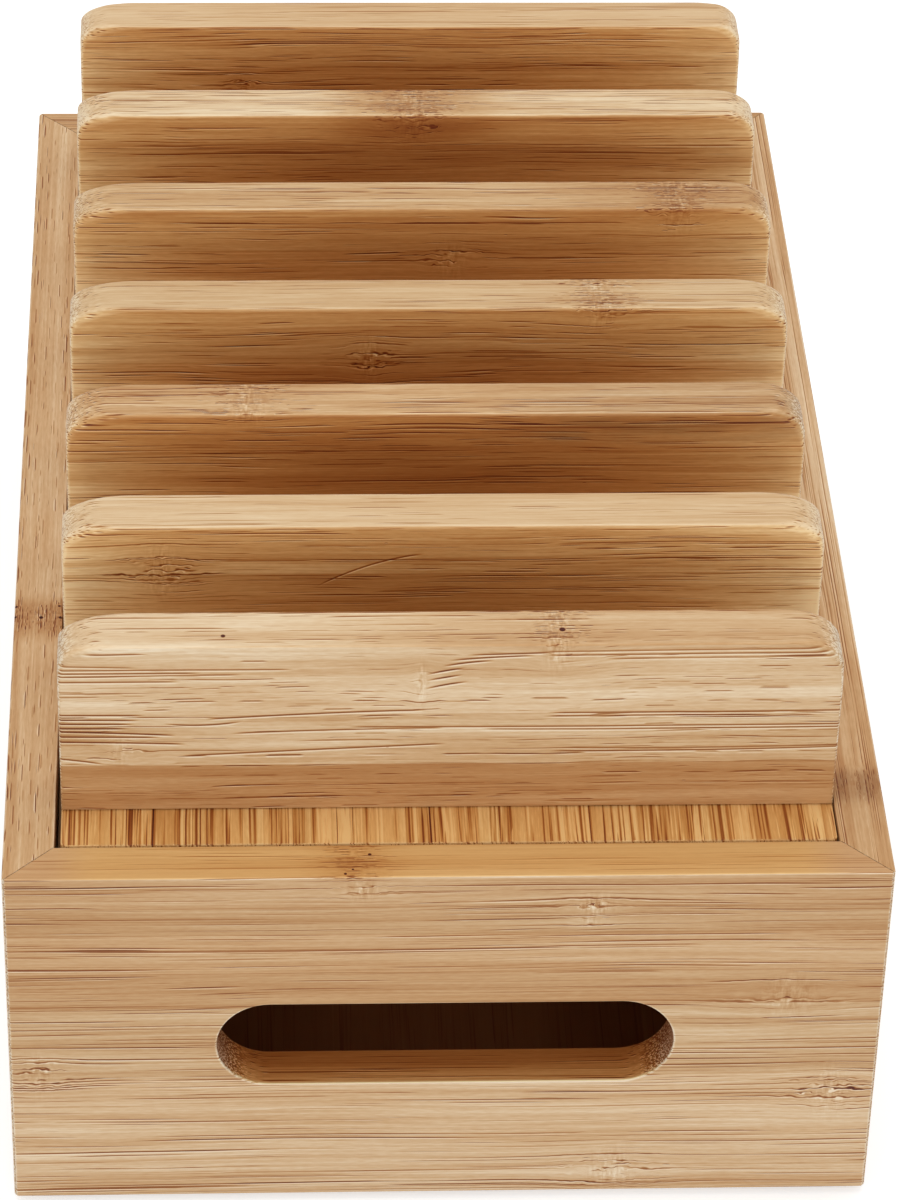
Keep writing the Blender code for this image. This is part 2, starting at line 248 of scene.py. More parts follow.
def fibre_bundles(finish, run, rise, depth, up, seed, spacing, length, thick, more):
    """Coats of stain on bundles scattered over the grain's cross-section, and its cells.

    The cross-section is cut into cells of this spacing, with one bundle in each. Along the
    grain a slow noise of the cell's own swells the bundle to its half thickness and fades it
    out again, so that a face shows tapering lines and a cut end shows dots. Across a line the
    coats go as an offset plus a lean, times e to the power of minus the offset squared: dark
    on the upper side and a little pale on the lower. Where up is 1 the face looks up, and the
    offset is counted along depth. more is a share of 0 to 1 that brings out bundles which
    would stay hidden. Sizes are in millimetres.
    """
    hidden_below, brought_out, steepness, lean = 0.60, 0.24, 6.0, 0.45
    across, deep = rise / spacing + seed, depth / spacing + seed
    cross = finish.point(across, deep, 0.0)
    sockets = {"Vector": cross, "Scale": 1.0, "Randomness": 1.0}
    off = finish.node("ShaderNodeTexVoronoi", {"voronoi_dimensions": "2D"}, sockets, "Distance")
    own_start, own_depth, own_size = finish.parts(off.twin("Color"))
    centre_across, centre_deep, _ = finish.parts(off.twin("Position"))
    along = {"W": run / length + own_start * 613.0 + seed, "Scale": 1.0, "Detail": 0.0}
    wave = finish.node("ShaderNodeTexNoise", {"noise_dimensions": "1D"}, along)
    swell = ((wave - hidden_below + more * brought_out) * steepness).clamped()
    half = (own_size * 0.6 + 0.4) * swell * (thick / spacing) + 0.001
    offset = (across - centre_across) * (1 - up) + (deep - centre_deep) * up
    drawn = (offset / half + lean) * ((off / half) ** 2.0).bell() * (own_depth * 1.6 + 0.7)
    return drawn, off


def strips_at(rise, seed, steps):
    """Strips that begin at given heights, each step (mm, coats added above it).

    Returns their coats, a number of its own for each strip, and 1 on the glued joints.
    """
    above = [rise.maths("GREATER_THAN", rise, height) for height, _ in steps]
    tone = total([past * added for past, (_, added) in zip(above, steps)])
    count = total(above)
    own = count.maths("FRACT", count * 0.37 + seed * 0.173)
    joint = largest([abs(rise - height).ramp(0.22, 0.05) for height, _ in steps])
    return tone, own, own, joint


def even_strips(finish, rise, seed, width, spread):
    """Strips of about this width in mm side by side, whose coats differ by the spread.

    Returns their coats, two numbers of its own for each strip, and 1 on the glued joints.
    """
    sockets = {"W": rise / width + seed * 7.31, "Scale": 1.0, "Randomness": 0.75}
    settings = {"voronoi_dimensions": "1D"}
    cell = finish.node("ShaderNodeTexVoronoi", settings, sockets, "Color")
    tone, shift, warmth = finish.parts(cell)
    settings = {"voronoi_dimensions": "1D", "feature": "DISTANCE_TO_EDGE"}
    off_joint = finish.node("ShaderNodeTexVoronoi", settings, sockets, "Distance")
    joint = off_joint.ramp(0.16 / width, 0.04 / width)
    return (tone - 0.5) * spread, shift, warmth, joint


def culm_nodes(finish, flat, run, rise, seed, marks):
    """The lines parted and tangled round the culm's nodes, and what the nodes add.

    A node's nearness is e to the power of minus the squared distance from its middle, counted
    in its half length and half width. Lines are pushed away from the middle by a share of
    their distance times the nearness. Returns the height across the grain as bent so, the
    nearness, how many dashes gather, the wrinkled band across the strip, and coats.
    """
    near_ones, dashed_ones, bands, coats = [], [], [], []
    for centre_run, centre_rise, half_length, half_width, added, wrinkles, dashes in marks:
        off_rise = rise - centre_rise
        off_run = (run - centre_run) / half_length
        tall = (off_rise / half_width) ** 2.0
        near = (off_run ** 2.0 + tall).bell()
        across = ((off_run * 3.0) ** 2.0 + tall).bell()
        rise = rise - off_rise * near * (0.2 + 0.4 * wrinkles)
        near_ones.append(near)
        dashed_ones.append(near * dashes)
        bands.append(across * wrinkles)
        coats.append(near * added)
    node = largest(near_ones)
    tangle = finish.noise(flat, (2.6, 1.2, 1.2), (seed, 5, 0)) - 0.5
    return rise + node * tangle * 1.8, node, largest(dashed_ones), largest(bands), total(coats)


def slot_lining(run, rise, y, slot):
    """How far a point is outside the slot's outline and behind the wall's face, and the lining.

    The outline is a straight stretch with a half circle at each end, so the distance from it
    is that from the stretch less the radius. The lining is 1 inside the slot.
    """
    half_straight, centre_z, radius, wall_y = slot
    past_straight = (abs(run) - half_straight).most(0.0)
    outside = (past_straight ** 2.0 + (rise - centre_z) ** 2.0) ** 0.5 - radius
    deep = wall_y - abs(y)
    return outside, deep, outside.ramp(0.4, 0.1) * deep.ramp(0.1, 1.0)


def mottled_patches(finish, flat, run, rise, seed, patches):
    """Coats of each mottled stain, a soft-cornered oblong, and the shares of the grey ones."""
    coats, greys = [], []
    for centre_run, centre_rise, half_length, half_width, added, grey in patches:
        off_run = (run - centre_run) / half_length
        off_rise = (rise - centre_rise) / half_width
        patch = (off_run ** 4.0 + off_rise ** 4.0).bell()
        mottle = finish.noise(flat, (14.0, 2.6, 2.6), (seed, centre_run, 0), 3.0).ramp(0.3, 0.7)
        coats.append(patch * (mottle * 0.5 + 0.75) * added)
        if grey:
            greys.append(patch * (mottle * 0.6 + 0.4) * grey)
    return coats, greys


def single_lines(run, rise, sway, ahead, strokes):
    """Coats of single lines and scratches on a front face.

    Each starts at a height and goes on as a parabola: slope times the way from its start plus
    bend times the way squared. It tapers at both ends.
    """
    coats = []
    for start, end, height, slope, bend, added in strokes:
        way = run - start
        curve = height + way * slope + way ** 2.0 * bend
        off = (rise - curve + sway * STROKE_SWAY) / STROKE_HALF_WIDTH
        drawn = ahead * way.ramp(0.0, STROKE_TAPER) * (end - run).ramp(0.0, STROKE_TAPER)
        coats.append(drawn * (off + STROKE_LEAN) * (off ** 2.0).bell() * (added * STROKE_COATS))
    return coats


def small_holes(finish, flat, holes):
    """Coats of small dark holes, balls of a radius round a point in the wood."""
    coats = []
    for run, rise, depth, radius in holes:
        sockets = {0: flat, 1: (run, rise, depth)}
        off = finish.node("ShaderNodeVectorMath", {"operation": "DISTANCE"}, sockets, "Value")
        coats.append(off.ramp(radius * 1.2, radius * 0.7) * HOLE_COATS)
    return coats


def bamboo(
    name,
    along,
    seed,
    bundles,
    coats=0.2,
    spread=0.3,
    strip=7.0,
    steps=(),
    marks=(),
    patches=(),
    holes=(),
    strokes=(),
    length=1.0,
    streaks=0.4,
    clouds=0.5,
    crowds=0.9,
    calm=0.0,
    cells_shown=0.2,
    wear_and_highlight=0.12,
    tint=(1.0, 1.0, 1.0),
    caps=(),
    box=None,
    slot=None,
    shade=None,
):
    """Glued strips of bamboo, patterned through their whole thickness.

    The palest wood is darkened by coats of one brown stain: so many everywhere, and more or
    less of them by strip, cloud, line and mark, by painted shade and by painted highlights.
    Sizes are in millimetres.

    along: the grain's axis, X or Y with strips one above the other, or YX with them side by side
    bundles: layers of fibre, the finest first
    spread, strip: how much strips differ in coats and their width, unless steps are given
    steps, marks, patches, holes, strokes: rows as the tables below show them
    length: how long lines and clouds are drawn out along the grain
    streaks, clouds: how strong the even grain and the broad clouds are
    crowds: how far the lines gather in crowds, with plain wood between them
    calm: the share by which lines, grain and clouds fade where the wood faces up
    cells_shown: how strong the dots on a cut end are
    wear: coats taken off the edges of the box given, or the mesh's marked edges, for rubbing and a
    painted highlight
    tint: what the whole colour is multiplied by
    caps: for what faces up, each a tint and how far along the grain from the middle it goes
    slot: the cable slot: rims paled by rubbing and a painted highlight, a browner lining with painted
    shade further in
    shade: painted shade, as coats added to what faces forwards between two boards, and the board's
    top; they grow towards its foot and fall off towards its ends as the square of the way there
    """
    finish = Finish(name)
    place = finish.place()
    x, y, z = place
    face_x, face_y, face_z = finish.facing()
    run, rise, depth = {"X": (x, z, y), "Y": (y, z, x), "YX": (y, x, z)}[along]
    flat = finish.point(run, rise, depth)
    up = abs(face_z).ramp(0.5, 0.9)
    ahead = (face_y * -1.0).ramp(0.5, 0.9)
    cut = abs(face_x if along == "X" else face_y).ramp(0.3, 0.8)

    # Strips, and the lines' bends round the culm's nodes
    if steps:
        tone, shift, warmth, joint = strips_at(rise, seed, steps)
    else:
        tone, shift, warmth, joint = even_strips(finish, rise, seed, strip, spread)
    parted_rise = rise
    if marks:
        parted_rise, node, dashes, band, blotch = culm_nodes(finish, flat, run, rise, seed, marks)

    # Slow bends, crowds and clouds
    sway = finish.noise(flat, (60 * length, 16, 16), (seed, seed * 2, 0), 2.0) - 0.5
    shifted_run = run + shift * 700
    bent_rise = parted_rise + sway * 3.0 + shift * 40
    bent_depth = depth + sway * 2.0
    fibre = finish.point(shifted_run, bent_rise, bent_depth)
    crowd = finish.noise(fibre, (120 * length, 3.2, 3.2), (seed * 11, 3, 0)).ramp(0.36, 0.62)
    cloud = finish.noise(fibre, (80 * length, 4, 4), (seed, 0, seed), 2.0)
    streak = finish.noise(fibre, (40 * length, 0.5, 0.5), (seed, seed, 0), 3.0)
    grain = finish.noise(fibre, (2.5, 0.3, 0.3), (0, seed, seed))

    # How plainly the lines show
    smooth = up * calm
    if marks:
        smooth = smooth * (1 - node)
    if slot:
        outside, deep, lining = slot_lining(run, rise, y, slot)
        smooth = smooth * (1 - lining)
    plain = 1 - smooth

    # Coats of fibre bundles, and the dots of the finest ones on cut ends
    dark = tone + (coats - 0.01)
    layers = [(layer, node * LINES_NEAR_NODE if marks else 0.0) for layer in reversed(bundles)]
    if marks:
        layers.insert(0, (NODE_DASHES, dashes * DASHES_NEAR_NODE))
    for number, ((spacing, span, thick, share, added), gathered) in enumerate(layers):
        more = (crowd - 0.5) * crowds + share + gathered
        size = (spacing, span * length, thick)
        start = seed + 4.3 * number
        drawn, cells = fibre_bundles(
            finish, shifted_run, bent_rise, bent_depth, up, start, *size, more
        )
        dark = dark + drawn * plain * added
    dark = dark + cut * ((cells.ramp(0.25, 0.6) - 0.6) * cells_shown - 0.1)

    # Coats of clouds, grain, joints, nodes and blemishes
    broad = (cloud - 0.5) * clouds + (crowd - 0.5) * 0.12
    even = (streak - 0.5) * streaks + (grain - 0.5) * 0.25
    dark = dark + (broad * (1 - cut * 0.7) + even) * plain + joint * 0.15
    if marks:
        wrinkle = finish.noise(flat, (0.6, 2.2, 2.2), (seed, 0, 2), 2.0)
        dark = dark + blotch + band * ((wrinkle - 0.5) * 2.0 - 0.03)
    stains, greys = mottled_patches(finish, flat, run, rise, seed, patches)
    lines = single_lines(run, rise, sway, ahead, strokes)
    dark = total([dark, *stains, *lines, *small_holes(finish, flat, holes)])

    # Painted shade, the slot's lining and its painted shade, and edges paled by rubbing and a painted
    # highlight
    # Painted shade down the forward faces between two dividers, least at their ends
    if shade:
        shade_coats, top = shade
        sunk = (top - z).most(0.0)
        lost = sunk * SHADE_LOST_PER_MM_DOWN + SHADE_LOST_AT_ENDS
        lost = (run / SHADE_HALF_SPAN) ** 2.0 * lost
        dark = dark + ahead * (sunk * SHADE_PER_MM_DOWN + shade_coats - lost)
    # Edges are paled by rubbing and by a painted highlight
    if box:
        rubbing_and_highlight_mask = finish.edge(place, *box, EDGE_RUBBING_AND_HIGHLIGHT)
    else:
        rubbing_and_highlight_mask = finish.node("ShaderNodeAttribute", {"attribute_name": "rubbing_and_highlight_mask"}, {}, "Fac")
    if slot:
        # The slot's rims are paled the same way, by rubbing and a painted highlight
        rubbing_and_highlight_mask = rubbing_and_highlight_mask.most(outside.ramp(0.55, 0.1) * deep.ramp(0.5, 0.2))
        scales = cut * (cells.ramp(0.2, 0.5) - 0.5) * 0.7
        # Its lining is browner, and painted shade darkens it deeper into the slot
        dark = dark + lining * (deep.ramp(1.0, 9.0) * 0.45 + 0.35 + scales)
    dark = (dark - rubbing_and_highlight_mask * wear_and_highlight).most(0.0)

    # Colour
    colour = finish.stained(PALE_BAMBOO, STAIN, dark)
    colour = finish.tinted(1.0, colour, tint)
    colour = finish.tinted(warmth, colour, WARM_STRIP_TINT)
    for grey in greys:
        colour = finish.tinted(grey, colour, GREY_PATCH_TINT)
    if shade:
        # Painted shade is also warmer on the forward faces
        colour = finish.tinted(ahead, colour, PAINTED_SHADE_TINT)
    if slot:
        colour = finish.tinted(lining, colour, SLOT_LINING_TINT)
    for cap_tint, reach in caps:
        capped = face_z.ramp(0.45, 0.9) * abs(run).ramp(reach + CAP_FADE, reach - CAP_FADE)
        colour = finish.tinted(capped, colour, cap_tint)
    colour = finish.tinted(cut * 0.5, colour, END_GRAIN_TINT)
    finish.give("Base Color", colour)

    # Satin clear coat over fine grain
    rough = 0.45 + dark * 0.10 + (streak - 0.5) * 0.15 + cut * 0.12
    finish.give("Roughness", rough.clamped())
    finish.give("Specular IOR Level", 0.35)
    finish.give("Coat Weight", 0.12)
    finish.give("Coat Roughness", 0.38)
    finish.bump(streak, 0.3, 0.0001)
    return finish


def dress(name, finish):
    """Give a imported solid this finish."""
    nodes[name].material_slots[0].material = finish.material


WALL_LOW, WALL_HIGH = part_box("front_wall")
WALL_TOP = WALL_HIGH[2] * MM
BOX_FRONT = WALL_LOW[1] * MM
SLOT_LENGTH = 91.8
SLOT_HEIGHT = 21.4
SLOT_ABOVE_WALL_BOTTOM = 41.2
CABLE_SLOT = (
    (SLOT_LENGTH - SLOT_HEIGHT) / 2,
    WALL_LOW[2] * MM + SLOT_ABOVE_WALL_BOTTOM,
    SLOT_HEIGHT / 2,
    -BOX_FRONT,
)
WALL_BUNDLES = ((0.5, 26.0, 0.19, 0.65, 1.1), (0.8, 70.0, 0.22, 0.6, 1.1))
LEFT_BUNDLES = ((0.6, 4.0, 0.17, 0.35, 0.9), (0.75, 5.0, 0.19, 0.35, 1.1))
RIGHT_BUNDLES = ((0.45, 60.0, 0.17, 0.7, 0.75), (0.8, 150.0, 0.22, 0.75, 0.75))
# Steps: where a strip begins, coats added above it
END_STEPS = ((0.0, 0.0), (34.0, 0.09), (53.0, 0.2), (62.0, -0.12), (72.0, 0.12), (79.0, -0.06))
# Marks: mm along the grain, mm across it, half length, half width, coats, wrinkles, dashes
FRONT_MARKS = (
    (-17.0, 83.6, 8.0, 2.2, -0.08, 0.6, 0.0),
    (-18.5, 88.0, 7.0, 3.0, 0.35, 0.2, 1.0),
    (28.8, 78.9, 8.0, 2.4, -0.12, 0.8, 0.0),
    (27.5, 75.2, 5.0, 2.0, -0.1, 0.4, 0.6),
    (68.7, 55.0, 12.0, 4.5, 0.02, 0.5, 0.6),
    (78.5, 29.0, 10.0, 5.5, -0.03, 0.4, 0.6),
    (34.6, 7.3, 12.0, 5.0, -0.02, 0.4, 0.6),
    (-81.4, 35.4, 8.0, 4.5, -0.02, 0.35, 0.6),
)
BACK_MARKS = ((22.0, 70.0, 9.0, 4.0, 0.0, 0.5, 1.0), (-60.0, 30.0, 9.0, 4.0, 0.0, 0.5, 1.0))
LEFT_MARKS = ((-57.5, WALL_TOP, 6.0, 8.0, 0.0, 0.3, 1.0), (70.0, 40.0, 9.0, 5.0, 0.0, 0.5, 1.0))
RIGHT_MARKS = ((-114.2, 86.0, 6.0, 3.0, 0.2, 0.05, 0.0), (20.0, 30.0, 9.0, 5.0, 0.0, 0.5, 1.0))
# Patches: mm along, mm across, half length, half width, coats, share of grey
LEFT_PATCHES = (
    (BOX_FRONT, 43.0, 90.0, 80.0, 0.10, 0.0),
    (-58.0, WALL_TOP, 6.5, 8.0, 0.3, 0.0),
)
RIGHT_PATCHES = (
    (BOX_FRONT, 43.0, 100.0, 80.0, 0.22, 0.0),
    (-115.0, WALL_TOP, 5.0, 8.0, 0.2, 0.6),
)
# Holes: mm along, mm across, mm deep, radius
FRONT_HOLES = (
    (-15.6, WALL_TOP, -135.0, 0.35),
    (-20.5, WALL_TOP, -140.8, 0.3),
    (-19.0, WALL_TOP, -139.5, 0.25),
)
LEFT_HOLES = (
    (-57.8, WALL_TOP, -81.9, 0.45),
    (-54.1, WALL_TOP, -87.2, 0.35),
    (-57.6, WALL_TOP, -87.3, 0.35),
    (-53.9, WALL_TOP, -78.2, 0.3),
    (-57.8, WALL_TOP, -77.9, 0.4),
)
# Caps: tint of what faces up, mm from the board's middle that it goes along the grain
WHOLE_LENGTH = 200.0
HONEY_CAP = ((1.20, 1.15, 1.08), WHOLE_LENGTH)
GOLDEN_CAP = ((1.15, 1.17, 0.98), 74.0)
WALL_WOOD = {
    "bundles": WALL_BUNDLES,
    "coats": 0.30,
    "spread": 0.15,
    "strip": 8.0,
    "length": 1.6,
    "streaks": 0.55,
    "cells_shown": 0.6,
    "wear_and_highlight": 0.3,
    "tint": (0.89, 0.95, 1.08),
    "caps": (HONEY_CAP,),
}
FRONT_WALL = {
    "steps": END_STEPS,
    "marks": FRONT_MARKS,
    "holes": FRONT_HOLES,
    "calm": 0.6,
    "caps": (HONEY_CAP, GOLDEN_CAP),
    "slot": CABLE_SLOT,
}
BACK_WALL = {"steps": END_STEPS, "marks": BACK_MARKS, "slot": CABLE_SLOT}
LEFT_WALL = {
    "bundles": LEFT_BUNDLES,
    "crowds": 0.2,
    "marks": LEFT_MARKS,
    "patches": LEFT_PATCHES,
    "holes": LEFT_HOLES,
}
RIGHT_WALL = {"bundles": RIGHT_BUNDLES, "marks": RIGHT_MARKS, "patches": RIGHT_PATCHES}
# Walls: name, the grain's axis, seed, what is its own
WALLS = (
    ("front_wall", "X", 3.0, FRONT_WALL),
    ("back_wall", "X", 11.0, BACK_WALL),
    ("left_wall", "Y", 17.0, LEFT_WALL),
    ("right_wall", "Y", 23.0, RIGHT_WALL),
)
for wall, along, seed, look in WALLS:
    wood = {**WALL_WOOD, **look}
    dress(wall, bamboo(wall + "_bamboo", along, seed, box=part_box(wall), **wood))

# Base panel, rails and feet
# The base is a thin panel of wider bamboo strips let into the walls. Two rails glued
# inside the long walls carry the lid, and four rubber pads are stuck under the corners.
BASE_WOOD = {"bundles": WALL_BUNDLES, "calm": 0.7, "strip": 19.0, "length": 1.6}
# The base panel is stained much darker as painted shade, since it is seen only through the slots
PAINTED_SHADE_PANEL = {"coats": 1.25, "tint": (0.88, 0.86, 0.95)}
PALE_RAIL = {"coats": 0.5, "tint": (0.95, 0.95, 1.0)}
BASE_BOARDS = (
    ("base_panel", 31.0, PAINTED_SHADE_PANEL),
    ("ledge_left", 37.0, PALE_RAIL),
    ("ledge_right", 41.0, PALE_RAIL),
)
for board, seed, look in BASE_BOARDS:
    wood = {**BASE_WOOD, **look}
    dress(board, bamboo(board + "_bamboo", "YX", seed, box=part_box(board), **wood))


def rubber(name, seed):
    """Matt moulded rubber, finely pitted, with a little dust on it."""
    finish = Finish(name)
    x, y, z = finish.place()
    point = finish.point(x, y, z)
    pits = finish.noise(point, (0.25, 0.25, 0.25), (seed, 0, 0), 2.0)
    dust = finish.noise(point, (3.0, 3.0, 3.0), (0, seed, 0), 3.0)
    colour = finish.mix(dust.ramp(0.45, 0.8) * 0.5, rgb(24, 24, 25), rgb(58, 56, 53))
    finish.give("Base Color", colour)
    finish.give("Roughness", 0.72 + pits * 0.15)
    finish.bump(pits, 0.4, 0.0001)
    return finish


for number in range(1, 5):
    dress(f"foot_{number}", rubber(f"foot_{number}_rubber", number * 5.0))

# Lid panel
# A golden board of narrow strips set on edge, loose in the box on its rails.
# It has a cable hole in each bay and a row of countersunk holes underneath.
LID_WOOD = {
    "bundles": ((0.5, 40.0, 0.22, 0.85, 1.0), (0.9, 90.0, 0.28, 0.8, 1.1)),
    "coats": 0.24,
    "spread": 0.3,
    "strip": 4.6,
    "length": 1.2,
    "tint": (1.06, 0.86, 0.54),
}
dress("lid_panel", bamboo("lid_panel_bamboo", "YX", 47.0, box=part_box("lid_panel"), **LID_WOOD))

# Dividers
# Seven pale bamboo boards stand across the lid. Each is sawn square, then its top corners
# are rounded and its edges eased by hand, and two screws hold it from below.
DIVIDER_EDGE = 0.0007
DIVIDER_CORNER_EDGE = 0.0022
DIVIDER_BOTTOM_EDGE = 0.0003
DIVIDER_BLEND = 0.005
FOOT_BLEND = 0.0008
CLIMB_START = 0.004
CLIMB_POINTS = 4
TOP_POINTS = 8
CORNER_POINTS = 26
BLEND_POINTS = 10
ARC_POINTS = 8
# A ring of points this far past each turn keeps the shading of the flat faces flat
SUPPORT = 0.0004


def half_rim(half, tall, across, down):
    """One half of a divider's rim, from the foot of its right end to the middle of its top.

    A point climbs the end, turns a quarter ellipse at the corner, across times the cosine and
    down times the sine of an angle that grows evenly, and crosses the top. The edge's radius
    swells towards the corner as half a cosine wave of the distance to the corner's middle.
    Returns rows for the point's X and height, the direction inwards, and the radius.
    """
    straight = tall - down
    foot = np.array([0.0, FOOT_BLEND])
    climb = np.linspace(CLIMB_START, straight - DIVIDER_BLEND, CLIMB_POINTS)
    blend = np.linspace(straight - DIVIDER_BLEND, straight, BLEND_POINTS)[1:]
    up = np.concatenate([foot, climb, blend])
    over = np.linspace(0, DIVIDER_BLEND, BLEND_POINTS)[1:]
    middle = np.linspace(DIVIDER_BLEND, half - across, TOP_POINTS)[1:]
    over = np.concatenate([over, middle])
    turn = np.linspace(0, math.pi / 2, CORNER_POINTS)[1:]
    angle = np.concatenate([np.zeros(len(up)), turn, np.full(len(over), math.pi / 2)])
    x = half - across + across * np.cos(angle)
    x[len(up) + len(turn):] -= over
    z = straight + down * np.sin(angle)
    z[:len(up)] = up
    in_x, in_z = -np.cos(angle) / across, -np.sin(angle) / down
    size = np.hypot(in_x, in_z)
    in_x, in_z = in_x / size, in_z / size
    in_z[0] = 1.0
    way = np.concatenate([[0.0], np.cumsum(np.hypot(np.diff(x), np.diff(z)))])
    begin, end = way[len(up) - 1], way[len(up) + len(turn) - 1]
    reach = (end - begin) / 2 + DIVIDER_BLEND
    off_corner = np.clip(np.abs(way - (begin + end) / 2) / reach, 0, 1)
    swell = (1 + np.cos(math.pi * off_corner)) / 2
    radius = DIVIDER_EDGE + (DIVIDER_CORNER_EDGE - DIVIDER_EDGE) * swell
    radius[0] = DIVIDER_BOTTOM_EDGE
    return np.array([x, z, in_x, in_z, radius])


def divider_shape(name, low, high, corners):
    """A profile carried round the divider's rim, which has a corner of its own at each end.

    The profile leaves the front face, turns a quarter circle of the edge's radius, crosses the
    edge and turns again onto the back face.
    """
    half = (high[0] - low[0]) / 2
    tall = high[2] - low[2]
    left, right = (half_rim(half, tall, *corner) for corner in corners)
    mirrored = left[:, -2::-1] * [[-1], [1], [-1], [1], [1]]
    x, z, in_x, in_z, radius = np.concatenate([right, mirrored], axis=1)
    # The profile's shares of the radius in from the rim and back from the face, and how far its edge
    # is paled by rubbing and a painted highlight
    quarter = np.linspace(0, math.pi / 2, ARC_POINTS)
    in_share = np.concatenate([[1.0], 1 - np.sin(quarter), [0.0]])
    back_share = np.concatenate([[0.0], 1 - np.cos(quarter), [1.0]])
    rubbing_and_highlight_share = np.concatenate([[0.0], np.sin(2 * quarter), [0.0]])
    inset = in_share[:, None] * radius
    inset[0] += SUPPORT
    behind_face = back_share[:, None] * radius
    behind_face[-1] += SUPPORT
    ring_x = (low[0] + high[0]) / 2 + x + in_x * inset
    ring_z = low[2] + z + in_z * inset
    grid_x = np.concatenate([ring_x, ring_x[::-1]])
    grid_y = np.concatenate([low[1] + behind_face, (high[1] - behind_face)[::-1]])
    grid_z = np.concatenate([ring_z, ring_z[::-1]])
    rubbing_and_highlight_mask = np.repeat(np.concatenate([rubbing_and_highlight_share, rubbing_and_highlight_share[::-1]])[:, None], len(x), axis=1)
    points = np.stack([grid_x, grid_y, grid_z], axis=-1).reshape(-1, 3)
    index = np.arange(grid_x.size).reshape(grid_x.shape)
    ahead = np.roll(index, -1, axis=1)
    quads = np.stack([index[:-1], ahead[:-1], ahead[1:], index[1:]], axis=-1).reshape(-1, 4)
    faces = quads.tolist() + [index[0, ::-1].tolist(), index[-1].tolist()]
    mesh = bpy.data.meshes.new(name)
    mesh.from_pydata(points, [], faces)
    mesh.shade_smooth()
    attribute = mesh.attributes.new("rubbing_and_highlight_mask", "FLOAT", "POINT")
    attribute.data.foreach_set("value", rubbing_and_highlight_mask.ravel().astype(np.float32))
    mesh.validate()
    obj = bpy.data.objects.new(name, mesh)
    bpy.context.scene.collection.objects.link(obj)
    return obj


DIVIDER_SEED = 53.0
SEED_STEP = 7.0
DIVIDER_WOOD = {
    "bundles": ((0.5, 17.0, 0.17, 0.55, 1.4), (0.8, 45.0, 0.21, 0.5, 1.3)),
    "streaks": 0.7,
    "cells_shown": 0.45,
}
# Strokes: start and end along the grain, height at the start, slope, bend, coats
FIRST_STROKES = (
    (19.0, 90.0, 110.1, -0.01, 0.0002, 0.9),
    (18.0, 62.0, 109.2, 0.0, 0.0, 0.8),
    (-20.0, 90.0, 106.8, -0.006, 0.00005, 0.9),
    (6.0, 90.0, 106.1, -0.012, 0.00016, 0.8),
    (20.0, 90.0, 100.4, -0.012, 0.0004, 1.0),
    (22.0, 90.0, 101.2, -0.02, 0.00045, 0.7),
    (-56.0, -40.0, 107.9, -0.13, 0.0105, 1.2),
    (-48.0, -4.0, 109.0, 0.07, -0.0006, 1.2),
    (-43.0, 0.0, 105.4, 0.045, -0.0005, 1.0),
    (-52.0, 0.0, 99.9, 0.05, 0.0, 1.0),
    (-88.0, -67.0, 100.2, -0.03, -0.004, 1.1),
    (17.0, 76.0, 125.2, 0.005, 0.0, 0.6),
    (18.0, 82.0, 124.3, 0.004, 0.0, 0.75),
    (30.0, 84.0, 123.4, 0.003, 0.0, 0.5),
    (-88.0, -48.0, 120.5, 0.0, 0.0, 0.9),
    (-88.0, -60.0, 122.7, -0.03, 0.0, 0.6),
    (-88.0, -52.0, 118.4, 0.0, 0.0, 0.9),
    (-88.0, -30.0, 121.3, 0.0, 0.0, 0.8),
    (-88.0, -40.0, 119.6, 0.01, 0.0, 0.7),
    (-88.0, -59.0, 110.3, -0.01, 0.0, 1.2),
    (-88.0, -60.0, 109.2, -0.015, 0.0, 1.3),
    (-88.0, -61.0, 108.1, -0.01, 0.0, 1.2),
    (-88.0, -62.0, 107.0, -0.01, 0.0, 1.3),
    (-88.0, -53.0, 106.4, -0.02, -0.0006, 1.3),
    (-88.0, -56.0, 105.0, -0.015, 0.0, 1.1),
    (-88.0, -51.0, 103.7, -0.01, -0.0004, 1.2),
    (-5.0, 3.5, 119.7, 0.26, -0.006, 1.7),
    (-5.0, 3.0, 118.2, 0.2, 0.0, 1.6),
    (-5.2, 4.0, 116.1, 0.3, -0.01, 1.6),
    (-2.0, 9.0, 121.7, 0.22, -0.008, 1.3),
    (-0.5, 17.0, 123.2, 0.1, -0.002, 1.2),
    (3.0, 21.0, 124.5, 0.03, 0.0, 1.1),
)
